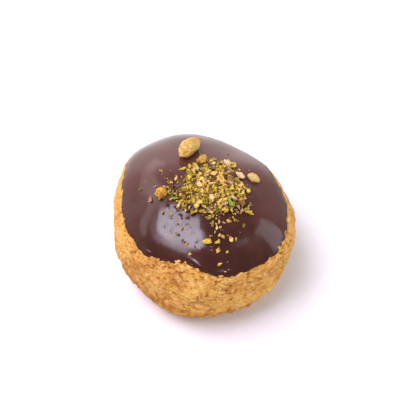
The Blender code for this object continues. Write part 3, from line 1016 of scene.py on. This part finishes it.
def roasted(name, body, pale, dark, green):
    material, tree, shader = new_finish("roasted " + name)
    colour = layered(
        tree,
        blend(tree, spots(tree, 1.4 * MM, 0.45, 0.65, detail=4, seed=1), body, pale),
        (spots(tree, 3.2 * MM, 0.56, 0.66, detail=2, seed=5), 0.75, green),
        # the wrinkles darker, partly skin and partly painted shade
        (stored(tree, "hollow"), 0.85, dark),
        (spots(tree, 0.6 * MM, 0.5, 0.68), 0.5, dark),
    )
    if name == "nut_kernel":
        colour = layered(tree, colour, (stored(tree, "tip"), 0.85, TIP_ORANGE))
    matt(tree, shader, colour, 1 * MM, (0.42, 0.65), 0.4)
    bumped(tree, shader, grain(tree, 0.4 * MM), 0.15 * MM, 0.6)
    return material


for name, nut in nuts.items():
    dress(nut, roasted(name, *NUT_COLOURS[name]))
print("roasted nut: one recipe,", len(nuts), "sets of colours")

# %% [markdown]
# ## Chopped crumbs: their shapes
#
# A knife leaves flat faces and corners, and where the nut broke instead, a ragged face. The same
# cut by planes at random gives both, only deeper: along each direction from its middle the crumb
# ends at the first plane that it meets. Then the faces are roughened. A few such shapes, turned
# and stretched differently each time, are enough for hundreds of crumbs. Large crumbs get a finer
# ball than small ones, so that the detail is about the same size on all of them.
#
# Each face also gets a number of its own. Some faces are fresh cuts, and some are the nut's old
# outside with its skin, so the finish can give one crumb two colours.

# %% A handful of crumb shapes
CRUMB_SHAPES = 14
FINENESS_FOR_SIZE = ((1.1, 2), (2.6, 3), (99.0, 4))
CUT_DEPTHS = (0.42, 0.80)
OUTSIDE = 1.1
RAGGED_GRAINS = ((0.45, 0.26), (0.2, 0.22))
SHAPES_SEED = 11


def crumb_shape(ball, rng):
    """Points of one crumb about a unit across, and the number of the face that each lies on."""
    stays, face = cut_flat(ball, rng, CUT_DEPTHS)
    points = ball * np.minimum(stays, OUTSIDE)[:, None]
    own = rng.uniform(0, 50)
    ragged = sum(height * noise_at(points + own, size) for size, height in RAGGED_GRAINS)
    points = points * (1 + ragged)[:, None]
    face_values = np.array([rng.random() for _ in range(CUTS)])
    return points / np.ptp(points, axis=0).max(), face_values[face]


rng = random.Random(SHAPES_SEED)
crumb_shapes = []
for _, fineness in FINENESS_FOR_SIZE:
    mesh, ball = nut_ball(fineness)
    faces = np.array([face.vertices[:] for face in mesh.polygons])
    crumb_shapes.append(([crumb_shape(2 * ball, rng) for _ in range(CRUMB_SHAPES)], faces))
    print(CRUMB_SHAPES, "crumb shapes of", len(faces), "faces")

# %% [markdown]
# ## The fines in the middle of the heap
#
# Chopping leaves almost a powder of fine bits, which lies thickest where the spoon was emptied and
# fills the gaps between the crumbs there. Thousands of tiny grains would cost much and show little,
# so the fines are one low mound. Its surface is broken into cells under a millimetre across, each
# standing a little higher or lower than the next and with a colour of its own, and its border dips
# under the icing. Its darker cells are partly bits of skin and partly painted shade between the
# crumbs.

# %% Form of the mound
FINES_AT = (5.2, -0.8)  # its middle seen from above, in millimetres, as are the next lines
FINES_HALF = (10.4, 10.8)
FINES_HEIGHT = 1.6
FINES_SUNK = 0.5
FINES_BORDER = ((7.0 * MM, 0.16), (2.5 * MM, 0.10))


def fines_rise(share):
    """Height of the mound at a share of the way from its middle to its border."""
    return (FINES_HEIGHT + FINES_SUNK) * np.clip(1 - share**3, 0, 1) - FINES_SUNK


def fines_share(x, y):
    """How far out a place lies on the mound: 0 in the middle and 1 on its ragged border."""
    dx, dy = (x - FINES_AT[0]) / FINES_HALF[0], (y - FINES_AT[1]) / FINES_HALF[1]
    bearing = np.arctan2(dy, dx)
    rim = np.stack([np.cos(bearing), np.sin(bearing), 0 * bearing], axis=-1) * FINES_HALF[0] * MM
    border = 1 + sum(height * noise_at(rim, size) for size, height in FINES_BORDER)
    return np.hypot(dx, dy) / border, border


print("mound of fines:", 2 * FINES_HALF[0], "x", 2 * FINES_HALF[1], "mm")

# %% The mound's mesh
FINES_AROUND, FINES_RINGS = 420, 110
FIRST_FINES_RING = 0.004
GRAIN_STEP, GRAIN_ROUNDING = 0.9, 1.6
FINES_CELLS = (
    # size of the cells, their height in mm, and their share of the colour
    (0.95 * MM, 0.55, 0.65),
    (0.5 * MM, 0.22, 0.35),
)

around = round_the_bun(FINES_AROUND)
out = np.linspace(FIRST_FINES_RING, 1.0, FINES_RINGS)[:, None]
right, back = FINES_HALF[0] * np.cos(around), FINES_HALF[1] * np.sin(around)
_, border = fines_share(FINES_AT[0] + right, FINES_AT[1] + back)
base, normal = top_of_icing(FINES_AT[0] + out * border * right, FINES_AT[1] + out * border * back)
rise = fines_rise(out * np.ones(FINES_AROUND))
tint = 0.0
for size, height, share in FINES_CELLS:
    near, _, own = cells_at(base, size)
    rise = rise + height * (GRAIN_STEP * own - GRAIN_ROUNDING * near**2)
    tint = tint + share * own
rise[-1] = -FINES_SUNK
fines_rings = base + normal * (rise * MM)[..., None]
middle = fines_rings[0].mean(axis=0)
under = fines_rings[-1].mean(axis=0) - np.array((0, 0, MM))
fines = skin_of_rings("pistachio_fines", fines_rings, middle, under)
# the darker cells are partly skin and partly painted shade between the crumbs
keep_on_rings(fines, "tint", 0.5, tint, 0.5)
print("mound of fines:", len(fines.data.polygons), "faces")

# %% [markdown]
# ## Chopped crumbs: where they fall
#
# The nuts were dropped by hand over one spot: a low heap, a few arms that run out from it, and
# stray crumbs all round. Physics could drop them, but a map of heights does the same for far less:
# each crumb falls on a spot of its patch, slides to the lowest place beside it, rests on what is
# already there, and raises the map under itself. Nothing floats, and the heap builds itself. The
# crumbs that lie apart are put down last, one by one, and stay exactly where they are put.

# %% Patches of crumbs
PATCHES = (
    # x, y, half width, half depth, how many, smallest and largest size, all in mm
    (5.2, -0.8, 11.0, 11.5, 600, 0.8, 3.6),
    (9.0, 10.5, 7.0, 5.0, 120, 0.8, 3.2),
    (15.5, -3.0, 4.0, 8.5, 105, 0.8, 3.1),
    (5.0, -11.0, 8.0, 4.5, 120, 0.8, 3.4),
    (-4.5, -8.5, 6.0, 5.0, 95, 0.8, 3.1),
    (-7.0, -2.0, 6.0, 5.0, 60, 0.7, 2.3),
    (-0.5, 9.0, 3.5, 4.0, 32, 0.8, 2.5),
    (-13.5, -3.5, 4.5, 4.0, 34, 0.6, 2.1),
    (-12.0, 4.0, 4.0, 3.5, 20, 0.5, 1.8),
    (20.5, -10.0, 3.0, 2.5, 14, 0.8, 2.6),
    (6.0, -17.0, 3.0, 3.0, 16, 0.6, 1.8),
    (8.0, -27.0, 6.0, 5.0, 12, 0.5, 1.3),
    (-9.0, -18.0, 9.0, 8.0, 18, 0.5, 1.1),
    (-19.0, 4.0, 8.0, 8.0, 10, 0.5, 1.0),
    (22.0, -1.0, 2.0, 5.0, 16, 0.4, 0.8),
    (16.0, -14.0, 4.0, 3.0, 12, 0.5, 1.2),
    (8.0, 19.0, 8.0, 4.0, 8, 0.5, 1.1),
)
KINDS = {
    # kind: share of the heap, stretch of the shape along x, y and z
    "lime": (0.39, (1.15, 0.85, 0.70)),
    "tan": (0.29, (1.2, 0.8, 0.60)),
    "pink": (0.06, (1.3, 0.8, 0.45)),
    "brown": (0.09, (1.15, 0.8, 0.6)),
    "olive": (0.07, (1.3, 0.7, 0.5)),
    "green": (0.01, (1.3, 0.6, 0.5)),
    "skin": (0.09, (1.3, 0.8, 0.25)),
}
STRAYS = (
    # crumbs that lie apart: x, y, size in mm and kind
    (-7.9, 9.7, 2.9, "lime"), (-4.9, 12.1, 2.2, "lime"), (-17.8, 9.6, 2.3, "olive"),
    (-26.7, 2.7, 2.1, "olive"), (-20.0, 1.8, 1.4, "tan"), (-21.9, -5.3, 3.2, "pink"),
    (-13.2, 8.1, 1.6, "brown"), (-15.9, 5.6, 1.4, "brown"), (-12.8, 2.3, 2.3, "lime"),
    (-10.9, 4.5, 2.0, "tan"), (-10.7, -6.8, 2.8, "green"), (-13.5, -6.4, 2.6, "skin"),
    (-12.2, -4.7, 2.8, "olive"), (-10.9, -3.1, 2.6, "skin"), (-11.8, -1.4, 1.8, "skin"),
    (-10.7, 1.0, 1.7, "skin"), (-9.2, -1.5, 1.9, "skin"), (-12.2, -0.6, 1.6, "brown"),
    (-7.8, 1.7, 1.5, "skin"), (-10.1, 3.5, 1.3, "brown"), (-6.2, 3.3, 1.7, "skin"),
    (-13.4, 0.6, 1.3, "skin"), (-7.4, -4.5, 1.6, "skin"), (4.4, 8.2, 3.6, "skin"),
    (10.7, 6.4, 2.6, "skin"), (17.5, 7.6, 5.0, "pink"), (17.8, 11.4, 1.7, "tan"),
    (15.4, 11.8, 1.3, "tan"), (22.5, 12.4, 1.3, "pink"), (13.3, -10.8, 3.8, "green"),
    (12.1, -5.2, 1.8, "green"), (21.6, -12.4, 3.2, "lime"), (20.2, -11.4, 2.4, "olive"),
    (23.6, -12.9, 1.7, "lime"), (18.3, -9.1, 3.0, "brown"), (16.9, -12.8, 1.4, "pink"),
    (15.8, -13.4, 1.0, "pink"), (13.1, -17.3, 2.4, "tan"), (15.4, -16.4, 2.4, "olive"),
    (17.0, -16.6, 1.5, "olive"), (19.3, -18.3, 2.8, "olive"), (5.3, -19.4, 2.8, "olive"),
    (4.0, -17.0, 2.2, "olive"), (8.3, -18.2, 1.7, "pink"), (10.6, -18.3, 1.2, "pink"),
    (7.1, -21.1, 1.8, "tan"), (8.7, -20.7, 1.8, "pink"), (9.9, -22.1, 2.0, "brown"),
    (6.4, -23.0, 2.0, "olive"), (8.3, -24.2, 1.6, "tan"), (5.3, -24.8, 1.2, "olive"),
    (3.4, -27.5, 3.8, "lime"), (7.5, -27.2, 2.8, "lime"), (9.7, -24.7, 3.2, "tan"),
    (13.2, -24.9, 2.8, "tan"), (15.6, -24.5, 1.7, "tan"), (7.8, -30.1, 2.6, "tan"),
    (5.0, -30.4, 1.7, "olive"), (11.6, -30.5, 2.0, "lime"), (8.8, -35.0, 2.0, "lime"),
    (17.8, -21.4, 0.9, "brown"), (11.9, -33.9, 1.0, "pink"), (12.3, -36.2, 0.9, "pink"),
    (10.8, -37.1, 1.1, "pink"), (-4.0, -31.7, 2.1, "lime"), (-5.5, -27.5, 2.1, "lime"),
    (-9.9, -18.4, 1.9, "olive"), (-7.7, -21.1, 2.0, "olive"), (-9.1, -23.3, 2.0, "skin"),
    (-10.6, -23.0, 1.5, "olive"), (-16.6, -12.7, 1.9, "olive"), (-12.8, -14.4, 1.7, "olive"),
    (-1.9, -29.3, 1.4, "skin"), (-15.9, -11.0, 1.2, "brown"),
)
print(len(PATCHES), "patches,", len(KINDS), "kinds,", len(STRAYS), "crumbs that lie apart")

# %% A map of heights
MAP_CELL = 0.25
MAP_REACH = 44.0
PACKING = 0.5
WAYS_TO_SLIDE = 6
LOWER_BY = 0.05
CRUMB_CORE = 0.8
RESTS_ON = 70  # the percentile of the heights under it that carries a crumb
NUT_MARGIN = 0.3

ticks = np.arange(-MAP_REACH, MAP_REACH, MAP_CELL)
map_x, map_y = np.meshgrid(ticks, ticks, indexing="ij")
heights = np.maximum(0, fines_rise(fines_share(map_x, map_y)[0]))


def clear_of_nuts(x, y, size):
    """Whether a crumb here leaves the large pieces alone, each seen as an ellipse."""
    margin = size * NUT_MARGIN
    for nut_x, nut_y, heading, length, width, _, _ in NUTS.values():
        turn = math.radians(-heading)
        dx, dy = x - nut_x, y - nut_y
        along = dx * math.cos(turn) - dy * math.sin(turn)
        across = dx * math.sin(turn) + dy * math.cos(turn)
        if math.hypot(along / (length / 2 + margin), across / (width / 2 + margin)) < 1:
            return False
    return True


def map_slice(x, y, radius):
    """The part of the height map under a round crumb, and its distances from the middle."""
    first_x = int((x - radius + MAP_REACH) / MAP_CELL)
    first_y = int((y - radius + MAP_REACH) / MAP_CELL)
    span = int(2 * radius / MAP_CELL) + 2
    part = np.s_[first_x : first_x + span, first_y : first_y + span]
    return part, np.hypot(map_x[part] - x, map_y[part] - y) / radius


def drop(x, y, size, slide):
    """Lets one crumb slide to the lowest spot near by, rests it there, and raises the map."""
    places = [(x, y)]
    for way in range(WAYS_TO_SLIDE):
        angle = way * math.pi / (WAYS_TO_SLIDE / 2)
        places.append((x + slide * size * math.cos(angle), y + slide * size * math.sin(angle)))
    radius = max(size / 2, 2 * MAP_CELL)
    best = None
    for spot in places:
        part, away = map_slice(*spot, radius)
        under = np.percentile(heights[part][away < CRUMB_CORE], RESTS_ON)
        if clear_of_nuts(*spot, size) and (best is None or under < best[0] - LOWER_BY):
            best = under, spot
    if best is None:
        return None
    under, spot = best
    part, away = map_slice(*spot, radius)
    top = under + size * PACKING * np.sqrt(np.clip(1 - away**2, 0, 1))
    heights[part] = np.where(away < 1, np.maximum(heights[part], top), heights[part])
    return (*spot, under)


print("map of heights:", heights.shape[0], "x", heights.shape[1], "cells")

# %% Drop the crumbs
HEAP_SEED = 5
SLIDE = 0.7
SMALL_ONES = 2.5

rng = random.Random(HEAP_SEED)
loose = []
for x, y, half_x, half_y, count, smallest, largest in PATCHES:
    for _ in range(count):
        angle, reach = rng.uniform(0, 2 * math.pi), math.sqrt(rng.random())
        spot = x + half_x * reach * math.cos(angle), y + half_y * reach * math.sin(angle)
        size = smallest + (largest - smallest) * rng.random() ** SMALL_ONES
        kind = rng.choices(list(KINDS), [share for share, _ in KINDS.values()])[0]
        loose.append((*spot, size, kind))
rng.shuffle(loose)

crumbs = []
for rows, slide in ((loose, SLIDE), (STRAYS, 0.0)):
    for x, y, size, kind in rows:
        rest = drop(x, y, size, slide)
        if rest:
            crumbs.append((*rest, size, kind))
print(len(crumbs), "crumbs, heaped up to", round(float(heights.max()), 1), "mm")

# %% [markdown]
# ## Chopped crumbs: one mesh for each kind
#
# Hundreds of separate objects would be slow to handle and heavy to export, so all the crumbs of a
# kind are joined in one mesh. Each crumb keeps a value of its own between 0 and 1, so that the
# finish can make every crumb a slightly different colour.

# %% How a crumb lies
CRUMB_SUNK = 0.25
CRUMB_TUMBLE, SKIN_TUMBLE = 0.8, 0.35
CRUMB_LIFT, SKIN_LIFT = 0.5 * PACKING, 0.12
UNEVEN = (0.8, 1.2)


def crumb_matrix(x, y, under, size, kind, rng):
    """Turns, stretches and places a crumb. A flake of skin lies flatter than the others."""
    flat = kind == "skin"
    tumble = SKIN_TUMBLE if flat else CRUMB_TUMBLE
    turned = Matrix.Rotation(rng.uniform(-tumble, tumble), 4, "X")
    turned @= Matrix.Rotation(rng.uniform(-tumble, tumble), 4, "Y")
    lift = (under + size * (SKIN_LIFT if flat else CRUMB_LIFT)) * MM - CRUMB_SUNK * MM
    scale = [size * MM * part * rng.uniform(*UNEVEN) for part in KINDS[kind][1]]
    place = lying_at(x, y, rng.uniform(0, 2 * math.pi), lift)
    return place @ turned @ Matrix.Diagonal(scale + [1])


def shapes_for(size):
    """The crumb shapes, and their faces, that are fine enough for a crumb of this size."""
    return next(
        shapes for (limit, _), shapes in zip(FINENESS_FOR_SIZE, crumb_shapes) if size < limit
    )


print("smallest crumb", min(crumb[3] for crumb in crumbs), "mm, largest",
      max(crumb[3] for crumb in crumbs), "mm")

# %% Join the crumbs
SKIN_CURL = 1.4


def join_crumbs(kind, rng):
    points, faces, tints, worn, used = [], [], [], [], 0
    for x, y, under, size, own_kind in crumbs:
        if own_kind != kind:
            continue
        shapes, shape_faces = shapes_for(size)
        shape, face_values = rng.choice(shapes)
        shape = shape.copy()
        if kind == "skin":
            shape[:, 2] += SKIN_CURL * shape[:, 0] ** 2
        matrix = np.array(crumb_matrix(x, y, under, size, kind, rng))
        faces.append(shape_faces + used)
        points.append(shape @ matrix[:3, :3].T + matrix[:3, 3])
        tints.append(np.full(len(shape), rng.random()))
        worn.append((face_values + rng.random()) % 1.0)
        used += len(shape)
    mesh = bpy.data.meshes.new("pistachio_" + kind)
    mesh.from_pydata(np.concatenate(points).tolist(), [], np.concatenate(faces).tolist())
    obj = add_object(mesh.name, mesh)
    keep_values(obj, "tint", np.concatenate(tints))
    keep_values(obj, "worn", np.concatenate(worn))
    print(mesh.name, len(points), "crumbs,", len(mesh.polygons), "faces")
    return obj


rng = random.Random(HEAP_SEED + 1)
heap = {kind: join_crumbs(kind, rng) for kind in KINDS}

# %% [markdown]
# ## The finish of chopped pistachio
#
# The flesh runs from butter yellow to green, the roasted outside is tan, and rests of skin are
# pink, brown or nearly black. The main mix is steered by the value that each crumb carries, and the
# faces with the highest numbers get the darker colour of the nut's outside.

# %% Chopped pistachio
CRUMB_COLOURS = {
    # one end of the range, the other end, and the darker outside
    "lime": ((0.84, 0.58, 0.07), (0.50, 0.38, 0.03), (0.22, 0.12, 0.012)),
    "tan": ((0.94, 0.65, 0.22), (0.68, 0.41, 0.09), (0.27, 0.12, 0.025)),
    "pink": ((0.80, 0.56, 0.34), (0.56, 0.33, 0.15), (0.26, 0.11, 0.045)),
    "brown": ((0.42, 0.20, 0.04), (0.18, 0.07, 0.018), (0.07, 0.025, 0.012)),
    "olive": ((0.44, 0.35, 0.065), (0.20, 0.16, 0.025), (0.06, 0.035, 0.01)),
    "green": ((0.33, 0.43, 0.035), (0.21, 0.30, 0.025), (0.08, 0.08, 0.015)),
    "skin": ((0.20, 0.095, 0.055), (0.030, 0.012, 0.008), (0.02, 0.007, 0.005)),
    # the fines' darker end is partly skin and partly painted shade between the crumbs
    "fines": ((0.76, 0.50, 0.09), (0.24, 0.11, 0.02), (0.08, 0.03, 0.006)),
}


def chopped(kind, first, second, dark):
    material, tree, shader = new_finish("chopped pistachio " + kind)
    colour = layered(
        tree,
        blend(tree, stored(tree, "tint"), first, second),
        (between(tree, stored(tree, "worn"), 0.72, 0.80), 0.8, dark),
        (spots(tree, 0.7 * MM, 0.52, 0.64), 0.6, dark),
    )
    matt(tree, shader, colour, 1 * MM, (0.5, 0.75), 0.25)
    bumped(tree, shader, grain(tree, 0.45 * MM), 0.2 * MM)
    return material


heap["fines"] = fines
for kind, obj in heap.items():
    dress(obj, chopped(kind, *CRUMB_COLOURS[kind]))
    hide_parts("icing")
print("chopped pistachio:", len(heap), "kinds")

# %% [markdown]
# ## Floor, light and camera
#
# The bun stands on a plain white table. Gloss needs something to mirror, so the lights are laid out
# from the reflections. Flat panels overhead on the left make the broad pale patch; they grow dimmer
# towards the right, which gives the patch a soft side. A tall light low on the right makes the
# narrow patch, and bright walls behind the bun make the sheen on its far half. In front the room is
# dark, which is why the icing is darkest there.
#
# Some light is needed without a mirror image: two soft fills lift the front of the crust, and the
# table is left out of the gloss, or it would draw a white line along the rim of the icing.

# %% Floor
FLOOR_REACH = 4.0
FLOOR_DROP = 0.1 * MM
TABLE_WHITE = (0.86, 0.86, 0.87)

bpy.ops.mesh.primitive_grid_add(x_subdivisions=8, y_subdivisions=8, size=2 * FLOOR_REACH)
floor = bpy.context.object
floor.name = "floor"
floor.location.z = -FLOOR_DROP
floor.visible_glossy = False  # or the rim of the icing would mirror white
table_top, tree, shader = new_finish("pale table")
matt(tree, shader, TABLE_WHITE, 0.2, (0.75, 0.85), 0.15)
floor.data.materials.append(table_top)
print("floor:", 2 * FLOOR_REACH, "m across")

# %% Soft lights
LIGHT_DISTANCE = 1.0
TARGET = Vector((AXIS.x, AXIS.y, 30.0 * MM))
TOP_LIGHT = (0.98, 0.93, 1.12)
TOP_PANELS = {
    # left and right end, front and back end (metres from the bun, seen from above), brightness
    "front panel": (-0.70, -0.20, -0.45, -0.02, 9.1),
    "front right panel": (-0.20, -0.07, -0.38, -0.02, 8.6),
    "half bright edge": (-0.07, -0.01, -0.34, -0.04, 4.6),
    "dim edge": (-0.01, 0.05, -0.30, -0.08, 2.2),
    "back panel": (-0.70, -0.15, -0.02, 0.26, 7.2),
    "left corner panel": (-0.86, -0.62, -0.62, -0.45, 5.5),
    "far left panel": (-0.98, -0.70, -0.45, 0.26, 1.1),
    "back left panel": (-0.80, -0.52, 0.26, 0.54, 2.2),
}
SIDE_LIGHTS = {
    # azimuth, elevation, width, height (degrees), brightness, colour
    "back left": (150, 36, 70, 16, 1.4, (1.0, 0.97, 0.96)),
    "low right": (-9, 16, 24, 66, 1.9, (0.97, 0.96, 1.05)),
    "front fill": (-62, 30, 90, 50, 0.75, (1.0, 1.0, 1.0)),
    "sky fill": (90, 89, 100, 100, 0.15, (1.0, 1.0, 1.0)),
}
NOT_MIRRORED = ("front fill", "sky fill")


def soft_light(name, away, width, height, brightness, colour):
    """A rectangle of light that stands off the bun by the vector away."""
    light = bpy.data.lights.new(name, "AREA")
    light.shape = "RECTANGLE"
    light.size, light.size_y = width, height
    light.energy = brightness * math.pi * width * height
    light.color = colour
    obj = add_object(name, light)
    obj.location = TARGET + away
    obj.visible_glossy = name not in NOT_MIRRORED
    print(name, "light:", round(width, 2), "x", round(height, 2), "m")
    return obj


# The panels hang flat overhead, as they are made: an area light shines straight down.
for name, (left, right, front, back, brightness) in TOP_PANELS.items():
    away = Vector(((left + right) / 2, (front + back) / 2, LIGHT_DISTANCE))
    soft_light(name, away, right - left, back - front, brightness, TOP_LIGHT)

# The side lights are turned towards the bun.
for name, (azimuth, elevation, across, upright, brightness, colour) in SIDE_LIGHTS.items():
    away = Vector(direction(math.radians(azimuth), math.radians(90 - elevation))) * LIGHT_DISTANCE
    width, height = (2 * math.tan(math.radians(angle / 2)) for angle in (across, upright))
    obj = soft_light(name, away, width, height, brightness, colour)
    obj.rotation_mode = "QUATERNION"
    obj.rotation_quaternion = away.to_track_quat("Z", "Y")

# %% The room
CEILING = (0.15, 0.15, 0.16)
WALL_IN_FRONT = (0.15, 0.15, 0.16)
WALL_BESIDE = (0.50, 0.48, 0.48)
WALL_BEHIND = (1.60, 1.55, 1.55)
BRIGHT_SIDE = (-0.26, 0.966, 0.0)

# Where one wall turns into the next: -1 is in front and 1 behind. For the ceiling, 1 is overhead.
FRONT_TO_SIDE = (-0.5, 0.3)
SIDE_TO_BEHIND = (0.60, 0.90)
WALL_TO_CEILING = (0.7, 0.85)

room = bpy.data.worlds.new("studio")
bpy.context.scene.world = room
room.use_nodes = True
tree = room.node_tree
toward = tree.nodes.new("ShaderNodeTexCoord").outputs["Generated"]
axes = tree.nodes.new("ShaderNodeSeparateXYZ")
tree.links.new(toward, axes.inputs[0])
backward = tree.nodes.new("ShaderNodeVectorMath")
backward.operation = "DOT_PRODUCT"
backward.inputs[1].default_value = BRIGHT_SIDE
tree.links.new(toward, backward.inputs[0])
how_far_back = backward.outputs["Value"]
walls = blend(tree, between(tree, how_far_back, *FRONT_TO_SIDE), WALL_IN_FRONT, WALL_BESIDE)
walls = blend(tree, between(tree, how_far_back, *SIDE_TO_BEHIND), walls, WALL_BEHIND)
colour = blend(tree, between(tree, axes.outputs["Z"], *WALL_TO_CEILING), walls, CEILING)
plug(tree, colour, tree.nodes["Background"].inputs["Color"])
print("room: dark in front and overhead, bright walls behind")

# %% Camera
CAMERA_ELEVATION = math.radians(55)
CAMERA_DISTANCE = 0.6
PICTURE_SIZE = 400
FOCAL_PIXELS = 1252.8
TARGET_ROW = 223.25

camera = bpy.data.cameras.new("camera")
camera.sensor_width = 36.0
camera.lens = FOCAL_PIXELS * camera.sensor_width / PICTURE_SIZE
eye = add_object("camera", camera)
back = Vector((0, -math.cos(CAMERA_ELEVATION), math.sin(CAMERA_ELEVATION)))
eye.location = TARGET + back * CAMERA_DISTANCE
# The bun sits a little below the middle of the picture, so the camera looks slightly over it.
tilt_up = math.atan((TARGET_ROW - PICTURE_SIZE / 2) / FOCAL_PIXELS)
eye.rotation_euler = (math.pi / 2 - CAMERA_ELEVATION + tilt_up, 0, 0)
bpy.context.scene.camera = eye
bpy.context.scene.view_settings.view_transform = "Standard"
print("lens:", round(camera.lens, 1), "mm, tilted up", round(math.degrees(tilt_up), 2), "degrees")
